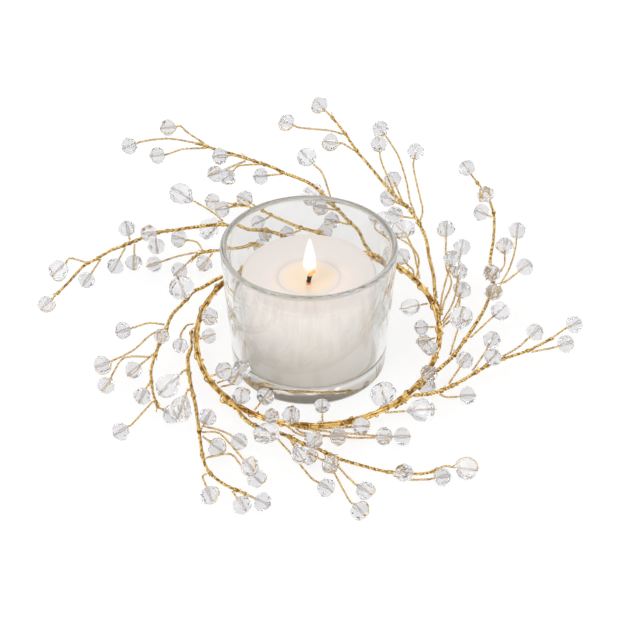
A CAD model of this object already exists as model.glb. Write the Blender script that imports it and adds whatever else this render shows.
import random
from math import atan, atan2, cos, degrees, hypot, pi, radians, sin

import bmesh
import bpy
import numpy as np
from mathutils import Matrix, Vector


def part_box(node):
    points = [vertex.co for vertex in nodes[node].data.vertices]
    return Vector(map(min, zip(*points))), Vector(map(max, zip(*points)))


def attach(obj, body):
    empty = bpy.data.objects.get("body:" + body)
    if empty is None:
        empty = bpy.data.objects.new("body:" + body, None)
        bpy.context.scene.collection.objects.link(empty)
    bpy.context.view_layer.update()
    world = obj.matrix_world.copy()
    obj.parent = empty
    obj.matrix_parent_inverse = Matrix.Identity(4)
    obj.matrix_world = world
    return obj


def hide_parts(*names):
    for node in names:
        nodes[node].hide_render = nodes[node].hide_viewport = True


# Looks for the beaded wire candle ring and its candle cup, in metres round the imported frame
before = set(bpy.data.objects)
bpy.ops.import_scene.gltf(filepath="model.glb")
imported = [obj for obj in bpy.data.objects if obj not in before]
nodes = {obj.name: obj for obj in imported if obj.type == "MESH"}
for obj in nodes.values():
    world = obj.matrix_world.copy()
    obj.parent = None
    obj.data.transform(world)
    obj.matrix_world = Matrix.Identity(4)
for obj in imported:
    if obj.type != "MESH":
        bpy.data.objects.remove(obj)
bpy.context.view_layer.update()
mm = 0.001
fullTurn = 2 * pi
up = Vector((0, 0, 1))
axis = (0, 0)  # the cup stands on it
sprayNames = sorted(n[: -len("_stem")] for n in nodes if n.endswith("_stem"))
print("frame loaded,", len(sprayNames), "sprays")


def placed(name, data):
    thing = bpy.data.objects.new(name, data)
    bpy.context.scene.collection.objects.link(thing)
    return thing


def asMesh(made, name):
    mesh = bpy.data.meshes.new(name)
    made.to_mesh(mesh)
    made.free()
    return mesh


# Camera, at the photograph's angle

camera = {
    "elevation": 36.96,  # degrees above the table
    "distance": 1150 * mm,
    "aimHeight": 30 * mm,
    "sensor": 36,
    "focalPixels": 2524,
    "photoSize": 620,
    "aimPixel": (309, 306.3),  # where the point aimed at shows in the photograph
}


def makeCamera():
    size = camera["photoSize"]
    data = bpy.data.cameras.new("camera")
    data.sensor_width = camera["sensor"]
    data.lens = camera["focalPixels"] / size * camera["sensor"]
    data.shift_x = (size / 2 - camera["aimPixel"][0]) / size
    data.shift_y = (camera["aimPixel"][1] - size / 2) / size
    eye = placed("camera", data)
    lift = radians(camera["elevation"])
    back = Vector((0, -cos(lift), sin(lift)))
    eye.location = camera["aimHeight"] * up + camera["distance"] * back
    eye.rotation_euler = (pi / 2 - lift, 0, 0)
    bpy.context.scene.camera = eye


makeCamera()


# Reading wires and stones from the frame

reading = {
    "sameCorner": 2e-6,
    "sameFacing": 0.99999,  # of the faces that make one flat end
    "evenRing": 1.04,  # longest reach of a tube's end over its shortest
    "tipReach": 12 * mm,  # from a stone's middle to the tip of its twig
    "tipWeight": 0.01,  # a straight twig's root lines up as well, but lies further off
    "widestShare": 0.95,
    "dropLean": 0.08,  # how far off its middle a drop is widest, in lengths
    "wickSides": 12,
    "stemSides": 8,
    "wireSides": 6,  # of twigs and the binding
}


def cornersOf(nodeName):
    return np.array([v.co for v in nodes[nodeName].data.vertices])


def reachAndHeight(nodeName):
    x, y, z = cornersOf(nodeName).T
    return np.hypot(x, y), z


def spreadFrom(seed, seen, beside):
    # the seed and all that hangs together with it
    seen.add(seed)
    found, queue = [], [seed]
    while queue:
        found.append(queue.pop())
        for other in beside(found[-1]):
            if other not in seen:
                seen.add(other)
                queue.append(other)
    return found


def joinedCorners(vert):
    return [edge.other_vert(vert) for edge in vert.link_edges]


def islands(nodeName):
    # the node's separate solids, as merged copies
    whole = bmesh.new()
    whole.from_mesh(nodes[nodeName].data)
    bmesh.ops.remove_doubles(whole, verts=whole.verts, dist=reading["sameCorner"])
    whole.verts.index_update()
    seen = set()
    return whole, [spreadFrom(v, seen, joinedCorners) for v in whole.verts if v not in seen]


def middleOf(ring):
    # its middle and radii, taken in order so that every run gives the same
    points = [v.co for v in sorted(ring, key=lambda v: v.index)]
    middle = sum(points, Vector()) / len(points)
    return middle, [(point - middle).length for point in points]


def endCap(island, sides):
    # the flat ring of corners at one end of a tube
    seen = set()
    for face in (face for vert in island for face in vert.link_faces):
        if face in seen:
            continue
        facing = face.normal

        def level(one):
            near = (other for edge in one.edges for other in edge.link_faces)
            return [other for other in near if other.normal.dot(facing) > reading["sameFacing"]]

        corners = {v for one in spreadFrom(face, seen, level) for v in one.verts}
        if len(corners) != sides:
            continue
        reach = middleOf(corners)[1]
        if max(reach) < reading["evenRing"] * min(reach):
            return corners
    raise ValueError("a tube has no flat end")


def centreLine(island, sides):
    # middles and radii of the rings, from one end to the other
    ring = endCap(island, sides)
    seen, line = set(ring), []
    while ring:
        middle, reach = middleOf(ring)
        line.append((middle, sum(reach) / len(reach)))
        ring = {other for v in ring for other in joinedCorners(v)} - seen
        seen |= ring
    return line


def tubesOf(nodeName, sides):
    whole, found = islands(nodeName)
    lines = [centreLine(island, sides) for island in found]
    whole.free()
    return lines


def twigThrough(heart, twigs):
    # the twig whose end points at the stone, its tip and its direction there
    best = None
    for twig in twigs:
        for end, inner in ((-1, -2), (0, 1)):
            tip, before = twig[end][0], twig[inner][0]
            along = (tip - before).normalized()
            behind = (tip - heart).dot(along)
            off = (heart - tip + behind * along).length
            worse = off + reading["tipWeight"] * behind
            if 0 < behind < reading["tipReach"] and (best is None or worse < best[0]):
                best = (worse, twig, tip, along)
    return best[1:]


def stonesOf(nodeName, twigs):
    # every stone's middle, direction, width and length, from its corners and the twig through it
    whole, found = islands(nodeName)
    stones = []
    for island in found:
        corners = np.array([v.co for v in island])
        line, tip, along = twigThrough(Vector(corners.mean(0)), twigs)
        depth = (corners - np.array(tip)) @ np.array(along)
        middle = tip + along * float(depth.min() + depth.max()) / 2
        across = corners - np.array(middle)
        height = across @ np.array(along)
        wide = np.linalg.norm(across - np.outer(height, np.array(along)), axis=1)
        length, width = float(depth.max() - depth.min()), float(2 * wide.max())
        widest = height[wide > reading["widestShare"] * wide.max()].mean() / length
        longKind = "drop" if widest > reading["dropLean"] else "oval"
        stone = {"kind": "round" if length < width else longKind, "line": line}
        stone.update(middle=middle, along=along, width=width, length=length)
        stones.append(stone)
    whole.free()
    return stones


def hoopCircle():
    # the hoop's middle, its radius and its own axes, from its middle wire
    corners = np.unique(np.round(cornersOf("hoop_core"), 7), axis=0)
    middle = (corners.max(0) + corners.min(0)) / 2
    axes = np.linalg.svd(corners - corners.mean(0), full_matrices=False)[2]
    normal = Vector(axes[2])
    normal = normal if normal.z > 0 else -normal
    east = Vector((1, 0, 0))
    east = (east - east.dot(normal) * normal).normalized()
    reach = np.linalg.norm(corners - middle, axis=1)
    return Vector(middle), float(reach.max() + reach.min()) / 2, east, normal.cross(east), normal


hoopMiddle, hoopRadius, hoopEast, hoopNorth, hoopUp = hoopCircle()
print("hoop radius", round(hoopRadius / mm, 2), "mm")


def hoopOutwards(angle):
    return cos(angle) * hoopEast + sin(angle) * hoopNorth


def onHoop(angle, out=0, above=0):
    return hoopMiddle + (hoopRadius + out) * hoopOutwards(angle) + above * hoopUp


def hoopAngle(point):
    way = point - hoopMiddle
    return atan2(way.dot(hoopNorth), way.dot(hoopEast))


def halfTurnOff(angle):
    # the same angle, between half a turn back and half a turn on
    return (angle + pi) % fullTurn - pi


# Nodes: a value is a number or a colour, or the node or socket that feeds the input


def addNode(tree, kind, settings=(), values=()):
    node = tree.nodes.new(kind)
    for name, value in dict(settings).items():
        setattr(node, name, value)
    for name, value in dict(values).items():
        socket = node.inputs[name]
        if isinstance(value, bpy.types.Node):
            value = value.outputs[0]
        if isinstance(value, bpy.types.NodeSocket):
            tree.links.new(value, socket)
        elif socket.type == "RGBA" and len(value) == 3:
            socket.default_value = (*value, 1)
        else:
            socket.default_value = value
    return node


def mathNode(tree, operation, *values):
    return addNode(tree, "ShaderNodeMath", {"operation": operation}, enumerate(values)).outputs[0]


def vectorNode(tree, operation, *values):
    slots = (0, "Scale") if operation == "SCALE" else (0, 1)
    node = addNode(tree, "ShaderNodeVectorMath", {"operation": operation}, zip(slots, values))
    return node.outputs["Value" if operation == "DISTANCE" else 0]


def newTree(kind, name, inputs, outputs):
    # a node group with its named sockets, the outputs of its start and its end node
    tree = bpy.data.node_groups.new(name, kind)
    for label, socketKind, *usual in inputs:
        socket = tree.interface.new_socket(
            label, in_out="INPUT", socket_type="NodeSocket" + socketKind
        )
        if usual:
            socket.default_value = usual[0]
    for label, socketKind in outputs:
        tree.interface.new_socket(label, in_out="OUTPUT", socket_type="NodeSocket" + socketKind)
    start, end = addNode(tree, "NodeGroupInput"), addNode(tree, "NodeGroupOutput")
    return tree, start.outputs, end


# Shared shader effects


def objectPlace(tree):
    return addNode(tree, "ShaderNodeTexCoord").outputs["Object"]


def mottleGroup():
    # soft uneven patches and a fine tooth, both 0 to 1
    group, given, end = newTree(
        "ShaderNodeTree",
        "mottle",
        [("Patch Size", "Float", 0.01), ("Tooth Size", "Float", 0.001)],
        [("Patches", "Float"), ("Tooth", "Float")],
    )
    place = objectPlace(group)
    for label, detail, out in (("Patch Size", 2, "Patches"), ("Tooth Size", 3, "Tooth")):
        values = {
            "Vector": place,
            "Scale": mathNode(group, "DIVIDE", 1.0, given[label]),
            "Detail": detail,
        }
        noise = addNode(group, "ShaderNodeTexNoise", values=values)
        group.links.new(noise.outputs["Fac"], end.inputs[out])
    return group


mottle = mottleGroup()


def placeMottle(tree, patchSize, toothSize):
    sizes = {"Patch Size": patchSize, "Tooth Size": toothSize}
    effect = addNode(tree, "ShaderNodeGroup", {"node_tree": mottle}, sizes)
    return effect.outputs["Patches"], effect.outputs["Tooth"]


def newMaterial(name):
    material = bpy.data.materials.new(name)
    material.use_nodes = True
    material.node_tree.nodes.clear()
    return material, material.node_tree


def principled(tree, values):
    return addNode(tree, "ShaderNodeBsdfPrincipled", values=values)


def showSurface(tree, shader, kind="Material"):
    addNode(tree, "ShaderNodeOutput" + kind, values={"Surface": shader})


def finished(material, values):
    tree = material.node_tree
    showSurface(tree, principled(tree, values))
    return material


def ramp(tree, share, stops):
    node = addNode(tree, "ShaderNodeValToRGB", values={0: share})
    elements = node.color_ramp.elements
    while len(elements) < len(stops):
        elements.new(0.5)
    for element, (place, colour) in zip(elements, stops):
        element.position = place
        element.color = (*colour, 1)
    return node.outputs[0]


def spread(tree, share, ends, targets=(0.0, 1.0), kind="LINEAR"):
    # what runs between the two ends, put between the two targets
    values = {0: share, "From Min": ends[0], "From Max": ends[1]}
    values.update({"To Min": targets[0], "To Max": targets[1]})
    return addNode(tree, "ShaderNodeMapRange", {"interpolation_type": kind}, values).outputs[0]


def heightShare(tree, low, high):
    split = addNode(tree, "ShaderNodeSeparateXYZ", values={0: objectPlace(tree)})
    return spread(tree, split.outputs["Z"], (low, high))


def distanceFrom(tree, point):
    return vectorNode(tree, "DISTANCE", objectPlace(tree), tuple(point))


def bump(tree, height, strength, depth):
    values = {"Strength": strength, "Distance": depth, "Height": height}
    return addNode(tree, "ShaderNodeBump", values=values)


def mixShader(tree, share, first, second):
    return addNode(tree, "ShaderNodeMixShader", values={0: share, 1: first, 2: second})


# Gold wire

wireFinish = {
    # dark and light colour, size of the patches, least and most roughness
    "hoop": ((0.36, 0.175, 0.035), (0.93, 0.67, 0.26), 3.5 * mm, (0.12, 0.30)),
    "stem": ((0.30, 0.145, 0.03), (0.90, 0.66, 0.25), 1.2 * mm, (0.10, 0.30)),
    "twig": ((0.32, 0.155, 0.03), (0.90, 0.65, 0.24), 0.9 * mm, (0.12, 0.32)),
}


def wireMaterial(kind):
    dark, light, patchSize, roughness = wireFinish[kind]
    material, tree = newMaterial(kind + "Gold")
    patches, tooth = placeMottle(tree, patchSize, 0.5 * mm)
    values = {
        "Metallic": 1.0,
        "IOR": 1.5,
        "Base Color": ramp(tree, patches, [(0.41, dark), (0.53, light)]),
        "Roughness": spread(tree, tooth, (0, 1), roughness),
        "Normal": bump(tree, tooth, 0.35, 0.05 * mm),
    }
    return finished(material, values)


hoopGold, stemGold, twigGold = [wireMaterial(kind) for kind in wireFinish]


# Clear stones and the cup's glass

glassFinish = {
    # two colours, refraction, roughness, clearness (the rest is milky), colour of what its shadow
    # lets through, bounces
    "bead": ((0.74, 0.74, 0.765), (0.83, 0.815, 0.81), 1.3, 0.06, 0.88, (0.80, 0.80, 0.81), 4.5),
    "stone": ((0.80, 0.80, 0.83), (0.93, 0.92, 0.91), 1.42, 0.03, 0.95, (0.70, 0.70, 0.73), 4.5),
    "cup": ((0.83, 0.83, 0.82), (0.87, 0.87, 0.86), 1.5, 0.0, 1.0, (0.93, 0.93, 0.925), 3.5),
}


def glassMaterial(kind, bands=()):
    # lamps shine through it, so that what it holds isn't left dark
    dark, light, ior, roughness, clearness, shadow, bounces = glassFinish[kind]
    material, tree = newMaterial(kind + "Glass")
    tint = ramp(tree, placeMottle(tree, 9 * mm, 1 * mm)[0], [(0.35, dark), (0.65, light)])
    for full, gone, colour in bands:
        # height where it is full, height where it is gone, colour
        share = heightShare(tree, gone, full)
        tint = addNode(tree, "ShaderNodeMixRGB", values={0: share, 1: tint, 2: colour})
    values = {
        "Transmission Weight": clearness,
        "IOR": ior,
        "Roughness": roughness,
        "Base Color": tint,
    }
    clear = addNode(tree, "ShaderNodeBsdfTransparent", values={0: shadow})
    # light that would bounce on inside for ever leaves straight instead of going black
    path = addNode(tree, "ShaderNodeLightPath").outputs
    deep = mathNode(tree, "GREATER_THAN", path["Ray Depth"], bounces)
    skip = mathNode(tree, "MAXIMUM", path["Is Shadow Ray"], deep)
    showSurface(tree, mixShader(tree, skip, principled(tree, values), clear))
    return material


beadGlass, stoneGlass = glassMaterial("bead"), glassMaterial("stone")


# Geometry Nodes


def geoNode(tree, kind, values=(), settings=()):
    return addNode(tree, "GeometryNode" + kind, settings, values)


def attributeNode(tree, name, kind):
    node = geoNode(tree, "InputNamedAttribute", {"Name": name}, {"data_type": kind})
    return node.outputs["Attribute"]


def endTree(tree, shape, material, end):
    real = geoNode(tree, "RealizeInstances", {0: shape})
    finish = geoNode(tree, "SetMaterial", {0: real, "Material": material})
    tree.links.new(finish.outputs[0], end.inputs[0])


# every look of wires is a row of these
strandInputs = [
    ("Strands", "Int", 2),
    ("Pitch", "Float", 2.5 * mm),
    ("Thickness Share", "Float", 0.5),  # of the reach, as is how far out a strand lies
    ("Lay Share", "Float", 0.5),
    ("Spacing", "Float", 0.4 * mm),
    ("Sides", "Int", 5),
    ("Wobble", "Float", 0.0),
    ("Wobble Size", "Float", 4 * mm),
]


def strandTree():
    # lines of points become strands that twist round them, inside each point's reach
    tree, given, end = newTree(
        "GeometryNodeTree",
        "twistedStrands",
        [("Geometry", "Geometry")] + strandInputs + [("Seed", "Int", 1), ("Material", "Material")],
        [("Geometry", "Geometry")],
    )

    def calc(operation, *values):
        return mathNode(tree, operation, *values)

    curve = geoNode(tree, "MeshToCurve", {0: given["Geometry"]})
    smooth = geoNode(tree, "CurveSplineType", {0: curve}, {"spline_type": "CATMULL_ROM"})
    spacing = {0: smooth, "Length": given["Spacing"]}
    points = geoNode(tree, "ResampleCurve", spacing, {"mode": "LENGTH"})
    amount = {0: points, "Amount": given["Strands"]}
    copies = geoNode(tree, "DuplicateElements", amount, {"domain": "SPLINE"})
    number = copies.outputs["Duplicate Index"]

    reach = attributeNode(tree, "reach", "FLOAT")
    along = geoNode(tree, "SplineParameter").outputs["Length"]
    share = calc("DIVIDE", number, given["Strands"])
    angle = calc("MULTIPLY", calc("ADD", share, calc("DIVIDE", along, given["Pitch"])), fullTurn)
    lay = calc("MULTIPLY", reach, given["Lay Share"])
    normal = geoNode(tree, "InputNormal").outputs["Normal"]
    tangent = geoNode(tree, "InputTangent").outputs["Tangent"]
    beside = vectorNode(tree, "CROSS_PRODUCT", tangent, normal)
    partA, partB = [
        vectorNode(tree, "SCALE", way, calc("MULTIPLY", lay, calc(wave, angle)))
        for way, wave in ((normal, "COSINE"), (beside, "SINE"))
    ]
    values = {
        "Vector": geoNode(tree, "InputPosition"),
        "W": calc("ADD", calc("MULTIPLY", number, 3.7), given["Seed"]),
        "Scale": calc("DIVIDE", 1.0, given["Wobble Size"]),
        "Detail": 1.0,
        "Roughness": 0.5,
    }
    noise = addNode(tree, "ShaderNodeTexNoise", {"noise_dimensions": "4D"}, values)
    centred = vectorNode(tree, "SUBTRACT", noise.outputs["Color"], (0.5, 0.5, 0.5))
    sway = vectorNode(tree, "SCALE", centred, calc("MULTIPLY", given["Wobble"], 2.0))
    offset = vectorNode(tree, "ADD", vectorNode(tree, "ADD", partA, partB), sway)

    moved = geoNode(tree, "SetPosition", {0: copies, "Offset": offset})
    circle = {"Radius": 1.0, "Resolution": given["Sides"]}
    values = {
        0: moved,
        "Profile Curve": geoNode(tree, "CurvePrimitiveCircle", circle),
        "Scale": calc("MULTIPLY", reach, given["Thickness Share"]),
        "Fill Caps": True,
    }
    shade = geoNode(tree, "SetShadeSmooth", {0: geoNode(tree, "CurveToMesh", values)})
    endTree(tree, shade, given["Material"], end)
    return tree


def stoneTree():
    # one cut stone set on every point, turned to its direction
    tree, given, end = newTree(
        "GeometryNodeTree",
        "setStones",
        [("Geometry", "Geometry"), ("Stone", "Object"), ("Material", "Material")],
        [("Geometry", "Geometry")],
    )
    along, facing, size = [
        attributeNode(tree, name, "FLOAT_VECTOR") for name in ("along", "facing", "size")
    ]
    align = "FunctionNodeAlignRotationToVector"
    aim = addNode(tree, align, {"axis": "Z"}, {"Vector": along})
    values = {"Rotation": aim, "Vector": facing}
    turn = addNode(tree, align, {"axis": "X", "pivot_axis": "Z"}, values)
    source = geoNode(tree, "ObjectInfo", {"Object": given["Stone"]})
    values = {
        0: given["Geometry"],
        "Instance": source.outputs["Geometry"],
        "Rotation": turn,
        "Scale": size,
    }
    endTree(tree, geoNode(tree, "InstanceOnPoints", values), given["Material"], end)
    return tree


twistedStrands, setStones = strandTree(), stoneTree()


def grow(mesh, tree, inputs):
    # runs a tree on a mesh and gives the plain mesh that comes out
    carrier = placed("carrier", mesh)
    modifier = carrier.modifiers.new("grow", "NODES")
    modifier.node_group = tree
    sockets = {
        item.name: item.identifier
        for item in tree.interface.items_tree
        if item.item_type == "SOCKET" and item.in_out == "INPUT"
    }
    for label, value in inputs.items():
        modifier[sockets[label]] = value
    bpy.context.view_layer.update()
    graph = bpy.context.evaluated_depsgraph_get()
    made = bpy.data.meshes.new_from_object(carrier.evaluated_get(graph))
    bpy.data.objects.remove(carrier)
    return made


def setAttribute(mesh, name, kind, field, values):
    mesh.attributes.new(name, kind, "POINT").data.foreach_set(field, values)


def linesMesh(lines):
    # polylines of (point, reach) as a mesh of loose edges
    points, edges, reach = [], [], []
    for line in lines:
        first = len(points)
        closed = (line[0][0] - line[-1][0]).length < 1e-7
        for point, size in line[:-1] if closed else line:
            points.append(point)
            reach.append(size)
        last = len(points) - 1
        edges += [(i, i + 1) for i in range(first, last)]
        if closed:
            edges.append((last, first))
    mesh = bpy.data.meshes.new("lines")
    mesh.from_pydata(points, edges, [])
    setAttribute(mesh, "reach", "FLOAT", "value", reach)
    return mesh


def strands(lines, look, material, seed=1):
    inputs = {given[0]: value for given, value in zip(strandInputs, look)}
    inputs.update({"Seed": seed, "Material": material})
    return grow(linesMesh(lines), twistedStrands, inputs)


def makePiece(name, meshes, material, body, slotName, *replaced):
    # joins meshes into one piece at the origin that rides a body
    joined = bmesh.new()
    for mesh in meshes:
        joined.from_mesh(mesh)
        bpy.data.meshes.remove(mesh)
    whole = asMesh(joined, name)
    whole.materials.clear()
    whole.materials.append(material)
    for attribute in [a.name for a in whole.attributes if a.name in ("reach", "along")]:
        whole.attributes.remove(whole.attributes[attribute])
    piece = placed(name, whole)
    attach(piece, body)
    if replaced:
        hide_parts(*replaced)


# Cut stones, each cut from a block one facet at a time; lengths are in the stone's widths

stoneCuts = {
    # beads are turned: rows of tilt, facets round, distance and turn in half steps
    "bead": {
        "rows": [(20, 7, 0.474, 0), (57, 7, 0.466, 1)],
        "flat": 0.455,
        "bore": 0.085,
    },
    # the rest have a broad face before and behind, inside an outline, with bevelled edges
    "jewel": {
        "outline": "circle",
        "across": 0.472,
        "count": 10,
        "face": 0.37,
        "bevels": [(30, 0), (58, 1)],
        "girdle": 0.10,
        "flat": 0.455,
        "bore": 0.06,
    },
    "oval": {
        "outline": "ellipse",
        "across": 0.472,
        "tall": 0.585,
        "count": 10,
        "face": 0.36,
        "bevels": [(32, 0), (58, 1)],
        "girdle": 0.10,
        "flat": 0.575,
        "bore": 0.075,
    },
    "drop": {
        "outline": "pear",
        "across": 0.472,
        "rise": 0.115,  # of the round end's middle, above the stone's
        "tip": 0.52,  # of the thin end's middle, below it
        "tipRound": 0.07,
        "count": 12,
        "face": 0.34,
        "bevels": [(30, 0), (56, 1)],
        "girdle": 0.10,
        "flat": 0.575,
        "bore": 0.06,
    },
}
cutting = {
    "block": 3,
    "steepGirdle": 1.55,  # how much thicker the girdle is under the steep bevels
    "drillSides": 10,
    "setShare": 0.962,  # of the CAD stone's width that the cut one takes
    "turnSpread": 0.3,  # of the broad faces, which look towards the camera's side
    "faceTowards": Vector((0, -0.6, 0.8)),
}


def outlineReach(cut, angle):
    # how far the outline goes in a direction; the stone's own length is up
    if cut["outline"] == "circle":
        return cut["across"]
    if cut["outline"] == "ellipse":
        return hypot(cut["across"] * cos(angle), cut["tall"] * sin(angle))
    roundEnd = cut["across"] + cut["rise"] * sin(angle)
    return max(roundEnd, cut["tipRound"] - cut["tip"] * sin(angle))


def stonePlanes(cut):
    planes = [(Vector((0, 0, side)), cut["flat"]) for side in (1, -1)]
    for tilt, count, distance, half in cut.get("rows", []):
        lift = radians(tilt)
        for side in (1, -1):
            for k in range(count):
                around = (k + half / 2) * fullTurn / count
                flat = Vector((cos(around), sin(around), 0))
                normal = cos(lift) * flat + side * sin(lift) * up
                planes.append((normal, distance))
    if "outline" not in cut:
        return planes
    for side in (1, -1):
        planes.append((Vector((side, 0, 0)), cut["face"]))
    for tilt, half in [(0, 0)] + cut["bevels"]:
        lift = radians(tilt)
        edge = cut["girdle"] * (cutting["steepGirdle"] if half else 1)
        for side in (1, -1) if tilt else (1,):
            for k in range(cut["count"]):
                around = (k + 0.5 + half / 2) * fullTurn / cut["count"]
                normal = cos(lift) * Vector((0, cos(around), sin(around)))
                normal.x = side * sin(lift)
                distance = cos(lift) * outlineReach(cut, around)
                planes.append((normal, distance + sin(lift) * edge))
    return planes


def cutStone(kind):
    cut, size = stoneCuts[kind], cutting["block"]
    stone, drill = bmesh.new(), bmesh.new()
    bmesh.ops.create_cube(stone, size=size)
    for normal, distance in stonePlanes(cut):
        result = bmesh.ops.bisect_plane(
            stone,
            geom=stone.verts[:] + stone.edges[:] + stone.faces[:],
            plane_co=normal * distance,
            plane_no=normal,
            clear_outer=True,
            dist=1e-5,
        )
        rim = [e for e in result["geom_cut"] if isinstance(e, bmesh.types.BMEdge)]
        if len(rim) > 2:
            bmesh.ops.edgeloop_fill(stone, edges=rim)
    bmesh.ops.recalc_face_normals(stone, faces=stone.faces)
    sides, bore = cutting["drillSides"], cut["bore"]
    bmesh.ops.create_cone(
        drill, cap_ends=True, segments=sides, radius1=bore, radius2=bore, depth=size
    )
    block = placed(kind + "Block", asMesh(stone, kind + "Block"))
    bit = placed("drill", asMesh(drill, "drill"))
    boolean = block.modifiers.new("bore", "BOOLEAN")
    boolean.object = bit
    boolean.operation = "DIFFERENCE"
    boolean.solver = "EXACT"
    graph = bpy.context.evaluated_depsgraph_get()
    bored = bpy.data.meshes.new_from_object(block.evaluated_get(graph))
    for one in (block, bit):
        bpy.data.objects.remove(one)
    print(kind, "stone has", len(bored.polygons), "faces")
    return placed(kind + "Model", bored)


models = {kind: cutStone(kind) for kind in stoneCuts}
dice = random.Random(7)


def stonesMesh(kind, stones, material):
    # all stones of one kind, by the tree that sets them
    points = bpy.data.meshes.new("points")
    points.from_pydata([s["middle"] for s in stones], [], [])
    sizes, ways, sides = [], [], []
    for stone in stones:
        sizes += [stone["width"] * cutting["setShare"]] * 3
        ways += list(stone["along"])
        side = Vector([dice.uniform(-1, 1) for _ in range(3)])
        if kind != "bead":
            side = cutting["turnSpread"] * side + cutting["faceTowards"]
        sides += list(side)
    for label, values in (("along", ways), ("size", sizes), ("facing", sides)):
        setAttribute(points, label, "FLOAT_VECTOR", "vector", values)
    return grow(points, setStones, {"Stone": models[kind], "Material": material})


# Twigs: a twisted pair of thin wires through each bead, its hook and its binding

twigLooks = {
    "pair": (2, 2.5 * mm, 0.50, 0.74, 0.31 * mm, 5, 0.16 * mm, 3 * mm),
    "fine": (1, 10 * mm, 1.0, 0.0, 0.35 * mm, 5, 0.0, 4 * mm),
}
hook = {
    "wire": 0.2 * mm,
    "room": 0.18 * mm,  # from the stone to the wire
    "share": 0.5,  # of the round beads that show one
    "swing": 1.1,  # radians either way of the hoop's side
    "steps": 12,
    "inside": 0.4 * mm,  # the stone, where the wire comes from
    "past": 1.2 * mm,  # the near hole
    "aside": 0.3 * mm,
}
twigTip = {
    "past": 0.3 * mm,  # beyond its stone
    "clear": 0.4 * mm,  # before its stone, where the drawn points end
    "change": 0.3 * mm,  # either side of the hole, where it gets thin
    "tight": 0.55,  # how thick it is inside its stone
}
jointTurns = {
    "wire": 0.2 * mm,
    "turns": 3,
    "steps": 8,  # in a turn
    "step": 0.45 * mm,
    "lie": 0.6,  # of a wire's thickness, outside the stem
    "tail": 1.8 * mm,
}


def beadHook(stone):
    # the wire's end comes out of the far hole and back round the outside
    middle, along = stone["middle"], stone["along"]
    inwards = hoopMiddle - middle
    side = (inwards - inwards.dot(along) * along).normalized()
    side = Matrix.Rotation(dice.uniform(-hook["swing"], hook["swing"]), 3, along) @ side
    if side.z < 0 and middle.z < stone["width"]:
        side = side - 2 * side.z * up
        side = (side - side.dot(along) * along).normalized()
    gap = hook["wire"] + hook["room"]
    tall, wide = stone["length"] / 2 + gap, stone["width"] / 2 + gap
    path = [middle + along * (stone["length"] / 2 - hook["inside"])]
    for i in range(1, hook["steps"]):
        angle = pi * i / hook["steps"]
        path.append(middle + cos(angle) * tall * along + sin(angle) * wide * side)
    path.append(middle - along * (tall + hook["past"]) + side * hook["aside"])
    return [(point, hook["wire"]) for point in path]


def bindTurns(place, along, reach):
    # a few tight turns of thin wire round a stem, with a short end left sticking out
    side = along.orthogonal().normalized()
    across = along.cross(side)
    radius = reach + jointTurns["wire"] * jointTurns["lie"]
    turns, steps = jointTurns["turns"], jointTurns["steps"]
    start = dice.uniform(0, fullTurn)
    path = []
    for i in range(turns * steps + 1):
        angle = start + fullTurn * i / steps
        out = radius * (cos(angle) * side + sin(angle) * across)
        path.append(place + along * jointTurns["step"] * (i / steps - turns / 2) + out)
    out = (path[-1] - place).normalized()
    path.append(path[-1] + jointTurns["tail"] * (0.5 * out + 0.6 * along))
    return [(point, jointTurns["wire"]) for point in path]


def trimTip(stone):
    # the twig is drawn tight inside its stone and ends just beyond it
    line, along = stone["line"], stone["along"]
    middle, half = stone["middle"], stone["length"] / 2
    flip = line[0][0].dot(along) > line[-1][0].dot(along)
    if flip:
        line.reverse()
    reach = line[-1][1]
    tip = min((line[-1][0] - middle).dot(along), half + twigTip["past"])
    while len(line) > 1 and (line[-1][0] - middle).dot(along) > -half - twigTip["clear"]:
        line.pop()
    change, tight = twigTip["change"], twigTip["tight"]
    for place, share in ((-half - change, 1), (-half + change, tight), (tip, tight)):
        line.append((middle + place * along, reach * share))
    if flip:
        line.reverse()


def twigPiece(name, body, twigNode, twigs, stones, knots):
    fine = list(knots)
    for stone in stones:
        if stone["kind"] == "round" and dice.random() < hook["share"]:
            fine.append(beadHook(stone))
        trimTip(stone)
    wires = [
        strands(twigs, twigLooks["pair"], twigGold, seed=3),
        strands(fine, twigLooks["fine"], twigGold),
    ]
    makePiece(name, wires, twigGold, body, "twig_wire", twigNode)


def pieceLabel(prefix):
    first, *rest = prefix.split("_")
    return first + "".join(word.capitalize() for word in rest)


stoneKinds = {
    # name of the piece, glass, slot, and the cut of each kind of stone in the node
    "_beads": ("ClearBeads", beadGlass, "bead_glass", {"round": "bead"}),
    "_stones": (
        "CutStones",
        stoneGlass,
        "stone_glass",
        {"round": "jewel", "drop": "drop", "oval": "oval"},
    ),
}


def stonePieces(prefix, body, twigs):
    # clear beads and cut stones of one body; gives all its stones
    found = []
    for ending, (name, glass, slotName, cuts) in stoneKinds.items():
        if prefix + ending not in nodes:
            continue
        stones = stonesOf(prefix + ending, twigs)
        meshes = []
        for kind, model in cuts.items():
            these = [s for s in stones if s["kind"] == kind]
            if these:
                meshes.append(stonesMesh(model, these, glass))
        makePiece(pieceLabel(prefix) + name, meshes, glass, body, slotName, prefix + ending)
        found += stones
    return found


# Spray stems: loose bundles of thin strands, wound round and knotted where twigs leave

stemLooks = {
    "bundle": (3, 4.5 * mm, 0.41, 0.61, 0.4 * mm, 7, 0.2 * mm, 4 * mm),
    "wrap": (2, 3.0 * mm, 0.18, 0.82, 0.36 * mm, 5, 0.35 * mm, 3 * mm),
}


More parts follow.
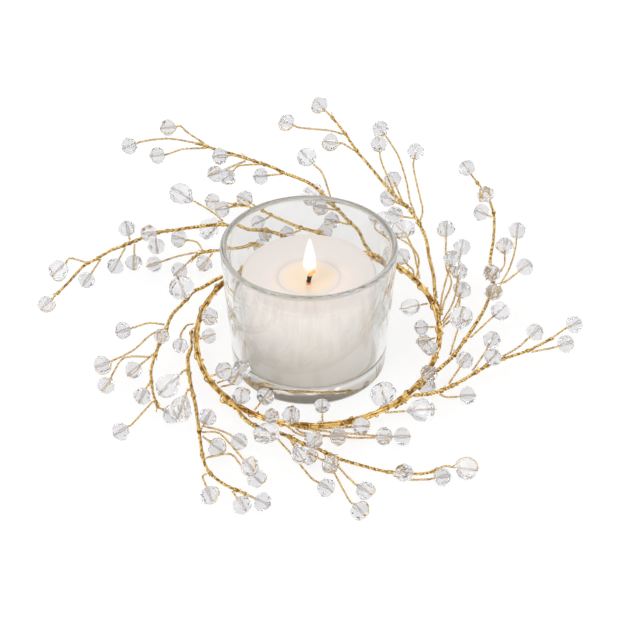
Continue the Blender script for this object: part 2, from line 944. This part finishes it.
def nearestOn(line, point):
    best = min(range(len(line)), key=lambda i: (line[i][0] - point).length)
    before, after = line[max(best - 1, 0)][0], line[min(best + 1, len(line) - 1)][0]
    return line[best][0], (after - before).normalized(), line[best][1]


def buildSpray(prefix):
    body, label = prefix + "_spray", pieceLabel(prefix)
    stemNode, twigNode = prefix + "_stem", prefix + "_twigs"
    stem = tubesOf(stemNode, reading["stemSides"])[0]
    twigs = tubesOf(twigNode, reading["wireSides"])
    meshes = [
        strands([stem], stemLooks["bundle"], stemGold, seed=len(prefix)),
        strands([stem], stemLooks["wrap"], stemGold, seed=len(prefix) + 5),
    ]
    makePiece(label + "StemWires", meshes, stemGold, body, "stem_wire", stemNode)
    stones = stonePieces(prefix, body, twigs)
    knots = []
    for twig in twigs:
        ends = (twig[0][0], twig[-1][0])
        root = min(ends, key=lambda p: (nearestOn(stem, p)[0] - p).length)
        knots.append(bindTurns(*nearestOn(stem, root)))
    twigPiece(label + "TwigWires", body, twigNode, twigs, stones, knots)


for prefix in sprayNames:
    buildSpray(prefix)
print("sprays made")


# Hoop: thick and thin wires laid together, spray tails and the binding round them

hoopLooks = {
    "thick": (4, 117 * mm, 0.40, 0.57, 1.2 * mm, 10, 0.10 * mm, 14 * mm),
    "thin": (4, 39 * mm, 0.17, 0.86, 0.8 * mm, 6, 0.2 * mm, 7 * mm),
    "tails": (3, 9 * mm, 0.46, 0.5, 0.6 * mm, 6, 0.05 * mm, 4 * mm),
    "binding": (1, 10 * mm, 1.0, 0.0, 0.5 * mm, 6, 0.06 * mm, 4 * mm),
}
hoopSteps = 240
tailSteps = 12
binding = {
    "slots": 24,
    "turnsInSlot": 1,
    "tightShare": 0.42,  # of a slot, over which it goes round
    "runPoints": 6,
    "turnPoints": 20,
    "lean": 0.1,  # of a slot, most that a turn leans either way
    "tailBlend": radians(2.5),  # over which it widens to take in a tail
}


def hoopLine():
    # closed line along the hoop's middle; its reach is the bundle's
    low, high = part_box("hoop_wires")
    reach = (high.x - low.x) / 2 - hoopRadius
    line = [(onHoop(fullTurn * i / hoopSteps), reach) for i in range(hoopSteps)]
    return line + line[:1]


def tailLines():
    whole, found = islands("spray_tails")
    lines = []
    for island in found:
        corners = [v.co.copy() for v in island]
        middle = hoopAngle(sum(corners, Vector()) / len(corners))
        offs = [halfTurnOff(hoopAngle(c) - middle) for c in corners]
        reaches = [(c - hoopMiddle).length for c in corners]
        out = (max(reaches) + min(reaches)) / 2 - hoopRadius
        size = (max(reaches) - min(reaches)) / 2
        low, high = middle + min(offs), middle + max(offs)
        angles = [low + (high - low) * i / tailSteps for i in range(tailSteps + 1)]
        lines.append([(onHoop(angle, out), size) for angle in angles])
    whole.free()
    return lines


def bindingSteps():
    # slot, place in it, share of its turns gone and lean; round fast, then along to the next
    half, runs = binding["tightShare"] / 2, binding["runPoints"]
    count = binding["turnPoints"] * binding["turnsInSlot"]
    steps = []
    for k in range(binding["slots"]):
        lean = dice.uniform(-binding["lean"], binding["lean"])
        steps += [(k, -half + 2 * half * i / count, i / count, lean) for i in range(count + 1)]
        steps += [(k, half + (1 - 2 * half) * i / runs, 1, lean) for i in range(1, runs)]
    return steps[:-runs]  # it ends with the last turn


def bindingLine(tails):
    # round the bundle and, where one lies, the tail beside it
    given = tubesOf("binding_wire", reading["wireSides"])[0]
    outs, ups = [], []
    for point, _ in given:
        angle = hoopAngle(point)
        off = point - onHoop(angle)
        outs.append(off.dot(hoopOutwards(angle)))
        ups.append(off.dot(hoopUp))
    wideMiddle = (max(outs) + min(outs)) / 2
    wide, tall = (max(outs) - min(outs)) / 2, max(ups)
    first = min((hoopAngle(given[0][0]), hoopAngle(given[-1][0])), key=abs)
    spans = [(hoopAngle(tail[0][0]), hoopAngle(tail[-1][0])) for tail in tails]
    slot = fullTurn / binding["slots"]
    line = []
    for k, step, share, lean in bindingSteps():
        angle = first + slot * (k + step)
        near = 0
        for low, high in spans:
            reach = (high - low) % fullTurn / 2
            off = abs(halfTurnOff(angle - (low + reach) % fullTurn)) - reach
            near = max(near, min(1, max(0, 1 - off / binding["tailBlend"])))
        turn = fullTurn * binding["turnsInSlot"] * share - pi / 2
        out = near * wideMiddle + (near * wide + (1 - near) * tall) * cos(turn)
        angle += slot * lean * cos(turn) * 0.5
        line.append((onHoop(angle, out, -tall * sin(turn)), given[0][1]))
    return line


def buildHoop():
    ring = hoopLine()
    meshes = [
        strands([ring], hoopLooks["thick"], hoopGold, seed=2),
        strands([ring], hoopLooks["thin"], hoopGold, seed=9),
    ]
    makePiece("hoopBundle", meshes, hoopGold, "ring", "hoop_wire", "hoop_core", "hoop_wires")
    tails = tailLines()
    tailMesh = strands(tails, hoopLooks["tails"], stemGold, seed=4)
    makePiece("hoopTails", [tailMesh], stemGold, "ring", "hoop_wire", "spray_tails")
    wound = strands([bindingLine(tails)], hoopLooks["binding"], twigGold, seed=6)
    makePiece("hoopBinding", [wound], twigGold, "ring", "twig_wire", "binding_wire")
    twigs = tubesOf("hoop_twigs", reading["wireSides"])
    stones = stonePieces("hoop", "ring", twigs)
    twigPiece("hoopTwigWires", "ring", "hoop_twigs", twigs, stones, [])


buildHoop()
for model in models.values():
    bpy.data.objects.remove(model)
print("hoop made")


# Glass cup

cup = {
    "wall": 2.8 * mm,
    "footRound": 2 * mm,
    "innerRound": 4 * mm,
    "segments": 192,
    "footBand": (0.9, 1.25),  # of the floor's height, full and gone
    "footTint": (0.44, 0.385, 0.30),  # of the thick floor, which is less clear
    "rimBand": (0.9 * mm, 2.2 * mm),  # below the rim, full and gone
    "rimTint": (0.42, 0.425, 0.385),
}


def ringOf(target, radius, height, count, centre):
    # corners of a level ring, or the one on its axis
    if radius < 1e-6:
        return [target.verts.new((*centre, height))]
    corners = []
    for k in range(count):
        x = centre[0] + radius * cos(fullTurn * k / count)
        y = centre[1] + radius * sin(fullTurn * k / count)
        corners.append(target.verts.new((x, y, height)))
    return corners


def lathe(name, count, *parts):
    # spins outlines of (radius, height), each round its own upright axis, into one skin
    turned = bmesh.new()
    rings = [
        ringOf(turned, radius, height, count, centre)
        for centre, outline in parts
        for radius, height in outline
    ]
    for a, b in zip(rings, rings[1:]):
        for k in range(count):
            j = (k + 1) % count
            corners = [a[k % len(a)], a[j % len(a)], b[j % len(b)], b[k % len(b)]]
            turned.faces.new(list(dict.fromkeys(corners))).smooth = True
    bmesh.ops.recalc_face_normals(turned, faces=turned.faces)
    return asMesh(turned, name)


def arc(x, z, radius, start, stop, steps):
    angles = [radians(start + (stop - start) * i / steps) for i in range(steps + 1)]
    return [(x + radius * cos(angle), z + radius * sin(angle)) for angle in angles]


def straight(before, after):
    # extra rings on a straight wall keep the roundings from bending its shading
    a, b = before[-1], after[0]
    return [(a[0] + (b[0] - a[0]) * t, a[1] + (b[1] - a[1]) * t) for t in (0.008, 0.5, 0.992)]


def buildCup():
    reach, height = reachAndHeight("cup")
    top, rim = float(height.max()), float(reach.max())
    floor = float(height[reach.argmin()])
    foot, wall, inner = cup["footRound"], cup["wall"], cup["innerRound"]
    atFoot = np.abs(height - foot * 0.95) < foot * 0.1
    slope = (rim - float(reach[atFoot].max())) / (top - foot)
    lean = degrees(atan(slope))

    def outAt(z):
        return rim - slope * (top - z)

    lip, beside = wall / 2, 0.3 * mm
    footArc = arc(outAt(foot) - foot, foot, foot, -90, -lean, 12)
    rimArc = arc(rim - lip, top - lip, lip, -lean, 180 - lean, 14)
    floorArc = arc(outAt(floor) - wall - inner, floor + inner, inner, -lean, -90, 10)
    outline = (
        [(0, 0), (footArc[0][0] - beside, 0)]
        + footArc
        + straight(footArc, rimArc)
        + rimArc
        + straight(rimArc, floorArc)
        + floorArc
        + [(floorArc[-1][0] - beside, floor), (0, floor)]
    )
    mesh = lathe("glassCup", cup["segments"], (axis, outline))
    footBand = [share * floor for share in cup["footBand"]]
    rimBand = [top - depth for depth in cup["rimBand"]]
    bands = [(*footBand, cup["footTint"]), (*rimBand, cup["rimTint"])]
    makePiece("glassCup", [mesh], glassMaterial("cup", bands), "cup", "cup_glass", "cup")


buildCup()


# Candle: wax, melted pool and wick

candle = {
    "edge": 1.5 * mm,
    "flatShare": 0.8,  # of the top's reach, where it turns towards the pool
    "poolLevel": 1.3 * mm,  # below the wax's top
    "poolDepths": (1.2 * mm, 8 * mm),  # between which the hollow's floor is looked for
    "poolReach": 20 * mm,  # and within which of the axis
    "lip": 2.2 * mm,
    # millimetres outside the lip and below the top
    "lipEdge": [(3, 0.02), (1.2, 0.25), (0, 0.9)],
    # millimetres outside the hollow's floor and below the melted wax's level
    "poolEdge": [(1.2, 0.5), (1.75, 0.04), (1.72, 0), (1.60, 0), (0.2, 0)],
    "segments": 128,
}
waxFinish = {
    "colours": [
        (0.0, (0.96, 0.91, 0.84)),
        (0.5, (0.94, 0.88, 0.835)),
        (0.93, (0.92, 0.855, 0.815)),
        (0.99, (0.82, 0.755, 0.715)),
    ],
    "glow": (0.75, 0.42, 0.18),
    "glowReach": (25 * mm, 4 * mm),  # from the wick, where it is gone and full
    "glowStrength": 0.26,
}
poolFinish = {
    "colours": [
        (0.5, (0.87, 0.73, 0.56)),
        (0.85, (0.87, 0.74, 0.60)),
        (1.0, (0.80, 0.74, 0.69)),
    ],
    "glow": [(0.35, (0.62, 0.40, 0.18)), (0.65, (0.72, 0.50, 0.26))],
    "glowStrength": 0.06,
}
wickFinish = {
    "colours": [
        (0.10, (0.55, 0.20, 0.06)),
        (0.20, (0.02, 0.016, 0.014)),
        (0.62, (0.015, 0.012, 0.011)),
        (0.74, (0.70, 0.26, 0.06)),
    ],
    "ember": [
        (0.10, (0.30, 0.08, 0.01)),
        (0.20, (0, 0, 0)),
        (0.62, (0, 0, 0)),
        (0.76, (0.80, 0.24, 0.04)),
    ],
}
wickLook = (3, 6 * mm, 0.54, 0.44, 0.5 * mm, 8, 0.0, 4 * mm)
tinColours = [(0.3, (0.55, 0.56, 0.58)), (0.7, (0.72, 0.73, 0.75))]


def waxMaterial():
    # warm white, glowing faintly round the flame, greyer at the top
    material, tree = newMaterial("candleWax")
    low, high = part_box("wax")
    wickLow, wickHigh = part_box("wick")
    middle = (wickLow + wickHigh) / 2
    away = distanceFrom(tree, (middle.x, middle.y, high.z))
    glow = spread(tree, away, waxFinish["glowReach"], kind="SMOOTHSTEP")
    patches = placeMottle(tree, 6 * mm, 0.6 * mm)[0]
    values = {
        "Roughness": 0.42,
        "Subsurface Weight": 0.3,
        "Subsurface Scale": 5 * mm,
        "Subsurface Radius": (1.0, 0.75, 0.55),
        "IOR": 1.43,
        "Base Color": ramp(tree, heightShare(tree, low.z, high.z), waxFinish["colours"]),
        "Emission Color": ramp(tree, glow, [(0.0, (0, 0, 0)), (1.0, waxFinish["glow"])]),
        "Emission Strength": waxFinish["glowStrength"],
        "Normal": bump(tree, patches, 0.12, 0.3 * mm),
    }
    return finished(material, values)


def poolMaterial(middle, radius):
    # warm round the wick, paling to the wax's own colour at its edge
    material, tree = newMaterial("meltedWax")
    patches = placeMottle(tree, 7 * mm, 1 * mm)[0]
    outwards = mathNode(tree, "DIVIDE", distanceFrom(tree, middle), radius)
    uneven = mathNode(tree, "MULTIPLY_ADD", patches, 0.12, -0.06)
    share = mathNode(tree, "ADD", outwards, uneven)
    values = {
        "Roughness": 0.28,
        "IOR": 1.43,
        "Subsurface Weight": 0.5,
        "Subsurface Scale": 1.5 * mm,
        "Subsurface Radius": (1.0, 0.8, 0.6),
        "Base Color": ramp(tree, share, poolFinish["colours"]),
        "Emission Color": ramp(tree, patches, poolFinish["glow"]),
        "Emission Strength": poolFinish["glowStrength"],
    }
    return finished(material, values)


def wickMaterial(bottom, top):
    # charred black, orange at its foot and at its glowing tip
    material, tree = newMaterial("charredWick")
    tall = heightShare(tree, bottom, top)
    tooth = placeMottle(tree, 1.5 * mm, 0.4 * mm)[1]
    values = {
        "Roughness": 0.6,
        "Base Color": ramp(tree, tall, wickFinish["colours"]),
        "Emission Color": ramp(tree, tall, wickFinish["ember"]),
        "Emission Strength": 1.0,
        "Normal": bump(tree, tooth, 0.6, 0.2 * mm),
    }
    return finished(material, values)


def plateMaterial():
    material, tree = newMaterial("tinPlate")
    patches, tooth = placeMottle(tree, 3 * mm, 0.4 * mm)
    values = {
        "Metallic": 1.0,
        "Base Color": ramp(tree, patches, tinColours),
        "Roughness": spread(tree, tooth, (0, 1), (0.25, 0.45)),
    }
    return finished(material, values)


def poolCircle():
    # the hollow's middle, radius and floor, from the corners below the wax's top
    reach, height = reachAndHeight("wax")
    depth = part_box("wax")[1].z - height
    least, most = candle["poolDepths"]
    hollow = cornersOf("wax")[(depth > least) & (depth < most) & (reach < candle["poolReach"])]
    middle = (hollow.min(0) + hollow.max(0)) / 2
    radius = float(hollow[:, 0].max() - hollow[:, 0].min()) / 2
    return (float(middle[0]), float(middle[1])), radius, float(hollow[:, 2].min())


def buildCandle():
    low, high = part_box("wax")
    middle, floorRadius, floorZ = poolCircle()
    reach, height = reachAndHeight("wax")
    topOut, footOut = float(reach.max()), float(reach[height < low.z + 0.1 * mm].max())
    edge, top, count = candle["edge"], high.z, candle["segments"]
    level = top - candle["poolLevel"]
    lip = floorRadius + candle["lip"]
    wall = (
        [(0, low.z), (footOut, low.z)]
        + arc(topOut - edge, top - edge, edge, 0, 90, 8)
        + [(topOut * candle["flatShare"], top)]
    )
    # the top goes on inwards from the wall's axis to the pool's own middle
    hollow = [(lip + out * mm, top - down * mm) for out, down in candle["lipEdge"]]
    hollow += [(floorRadius, floorZ), (0, floorZ)]
    wax = lathe("candleWax", count, (axis, wall), (middle, hollow))
    makePiece("candleWax", [wax], waxMaterial(), "candle", "wax", "wax")

    bottom = floorZ + 0.05 * mm
    edges = [(floorRadius + out * mm, level - down * mm) for out, down in candle["poolEdge"]]
    outline = [(0, bottom), (floorRadius - 0.1 * mm, bottom)] + edges + [(0, level)]
    pool = lathe("meltedPool", count, (middle, outline))
    melted = poolMaterial((*middle, level), floorRadius + 1 * mm)
    makePiece("meltedPool", [pool], melted, "candle", "wax")

    line = tubesOf("wick", reading["wickSides"])[0]
    if line[0][0].z > line[-1][0].z:
        line = line[::-1]
    charred = wickMaterial(level, line[-1][0].z)
    wick = strands([line], wickLook, charred)
    makePiece("charredWick", [wick], charred, "candle", "wick", "wick")
    nodes["wick_plate"].data.materials.clear()
    nodes["wick_plate"].data.materials.append(plateMaterial())
    return line[0][0], level


wickFoot, poolLevel = buildCandle()
print("candle made")


# Flame: nested shells, each a little see-through, so that the edge stays soft

flame = {
    "low": 2.6 * mm,  # over the melted wax
    "tip": 66.3 * mm,  # over the table
    "width": 6.0 * mm,
    "aside": 0.3 * mm,
    "lean": 9.5 * mm,  # how far a draught bends the tip backwards
    "bend": 1.6,
    # share of the width, share of the height
    "outline": [
        (0.0, 0.0), (0.42, 0.03), (0.74, 0.12), (0.93, 0.24), (1.0, 0.36), (0.95, 0.50),
        (0.80, 0.64), (0.57, 0.79), (0.30, 0.92), (0.10, 0.985), (0.0, 1.0),
    ],
    "segments": 40,
    "shells": 3,
    "thinner": 0.18,  # each shell than the one before
    "shorter": 0.03,
    "strength": 1.15,
    "colours": [(0.0, (1.0, 0.62, 0.26)), (0.22, (1.0, 0.80, 0.50)), (0.42, (1.0, 0.98, 0.93))],
    "cover": [(0.12, 0), (0.27, 0.09), (0.44, 0.6)],  # how solid it is, up its height
}


def buildFlame():
    foot = Vector((wickFoot.x + flame["aside"], wickFoot.y, poolLevel + flame["low"]))
    tall = flame["tip"] - foot.z
    meshes = []
    for k in range(flame["shells"]):
        wide = (1 - flame["thinner"] * k) * flame["width"] / 2
        high = tall * (1 - flame["shorter"] * k)
        outline = [(r * wide, h * high) for r, h in flame["outline"]]
        mesh = lathe("flameShell", flame["segments"], (axis, outline))
        for vert in mesh.vertices:
            back = flame["lean"] * (vert.co.z / tall) ** flame["bend"]
            vert.co = vert.co + foot + Vector((0, back, 0))
        meshes.append(mesh)
    material, tree = newMaterial("candleFlame")
    rise = heightShare(tree, foot.z, foot.z + tall)
    values = {
        "Roughness": 1.0,
        "Specular IOR Level": 0.0,
        "Base Color": (0, 0, 0),
        "Emission Color": ramp(tree, rise, flame["colours"]),
        "Emission Strength": flame["strength"],
        "Alpha": ramp(tree, rise, [(place, (much,) * 3) for place, much in flame["cover"]]),
    }
    makePiece("candleFlame", meshes, finished(material, values), "candle", "wick")


buildFlame()
print("flame made")


# White set: floor, world and lamps

studio = {
    "floorSize": 4.0,
    "floorDrop": 0.1 * mm,
    "floorColour": (0.8, 0.8, 0.8),
    "floorLit": (0.28, 0.28, 0.28),  # of it that the lamps light, where it is seen
    "floorOwnLight": 0.765,
    "ambient": 0.68,
    "lamps": [
        # name, place, size, watts
        ("keyLamp", (-0.7, -0.7, 1.0), 0.7, 5.0),
        ("fillLamp", (0.5, -1.1, 0.5), 1.0, 3.2),
        ("backLamp", (0.2, 1.0, 0.9), 0.8, 2.0),
    ],
    # what glass and metal pick up, from the horizon upwards
    "sky": [
        (0.0, (1, 1, 1)),
        (0.05, (1, 1, 1)),
        (0.22, (0.80, 0.80, 0.81)),
        (0.45, (0.85, 0.85, 0.86)),
        (0.75, (1, 1, 1)),
    ],
    "cardDark": 0.7,
    "cards": 5,
}


def mirroredRay(tree, path):
    return mathNode(tree, "MAXIMUM", path["Is Glossy Ray"], path["Is Transmission Ray"])


def buildFloor():
    half, z = studio["floorSize"] / 2, -studio["floorDrop"]
    mesh = bpy.data.meshes.new("floor")
    corners = [(-half, -half, z), (half, -half, z), (half, half, z), (-half, half, z)]
    mesh.from_pydata(corners, [], [(0, 1, 2, 3)])
    floor = placed("floor", mesh)
    material, tree = newMaterial("whiteFloor")
    paint = addNode(tree, "ShaderNodeBsdfDiffuse", values={0: studio["floorColour"]})
    lit = addNode(tree, "ShaderNodeBsdfDiffuse", values={0: studio["floorLit"]})
    own = addNode(tree, "ShaderNodeEmission", values={"Strength": studio["floorOwnLight"]})
    both = addNode(tree, "ShaderNodeAddShader", values={0: own, 1: lit})
    path = addNode(tree, "ShaderNodeLightPath").outputs
    seen = mathNode(tree, "MAXIMUM", path["Is Camera Ray"], mirroredRay(tree, path))
    showSurface(tree, mixShader(tree, seen, paint, both))
    mesh.materials.append(material)


def buildWorld():
    # white to the camera; greyer cards stand about for glass and metal to pick up
    world = bpy.data.worlds.new("studio")
    bpy.context.scene.world = world
    world.use_nodes = True
    tree = world.node_tree
    tree.nodes.clear()
    place = addNode(tree, "ShaderNodeTexCoord").outputs["Generated"]
    split = addNode(tree, "ShaderNodeSeparateXYZ", values={0: place}).outputs
    sky = ramp(tree, split["Z"], studio["sky"])
    around = mathNode(tree, "ARCTAN2", split["X"], split["Y"])
    stripes = mathNode(tree, "SINE", mathNode(tree, "MULTIPLY", around, studio["cards"]))
    cards = spread(tree, stripes, (0.2, 0.8), (1.0, studio["cardDark"]), "SMOOTHSTEP")
    darkened = {0: 1.0, 1: sky, 2: cards}
    shaded = addNode(tree, "ShaderNodeMixRGB", {"blend_type": "MULTIPLY"}, darkened)
    backgrounds = []
    for colour, strength in ((shaded, 1.0), ((1, 1, 1), studio["ambient"]), ((1, 1, 1), 1.0)):
        values = {"Color": colour, "Strength": strength}
        backgrounds.append(addNode(tree, "ShaderNodeBackground", values=values))
    mirrored, ambient, white = backgrounds
    path = addNode(tree, "ShaderNodeLightPath").outputs
    unseen = mixShader(tree, mirroredRay(tree, path), ambient, mirrored)
    showSurface(tree, mixShader(tree, path["Is Camera Ray"], unseen, white), "World")


def buildLamps():
    for name, place, size, watts in studio["lamps"]:
        data = bpy.data.lights.new(name, "AREA")
        data.size = size
        data.energy = watts
        lamp = placed(name, data)
        lamp.location = place
        aim = camera["aimHeight"] * up - Vector(place)
        lamp.rotation_euler = aim.to_track_quat("-Z", "Y").to_euler()


buildFloor()
buildWorld()
buildLamps()
bpy.context.scene.view_settings.view_transform = "Standard"
print("set made")
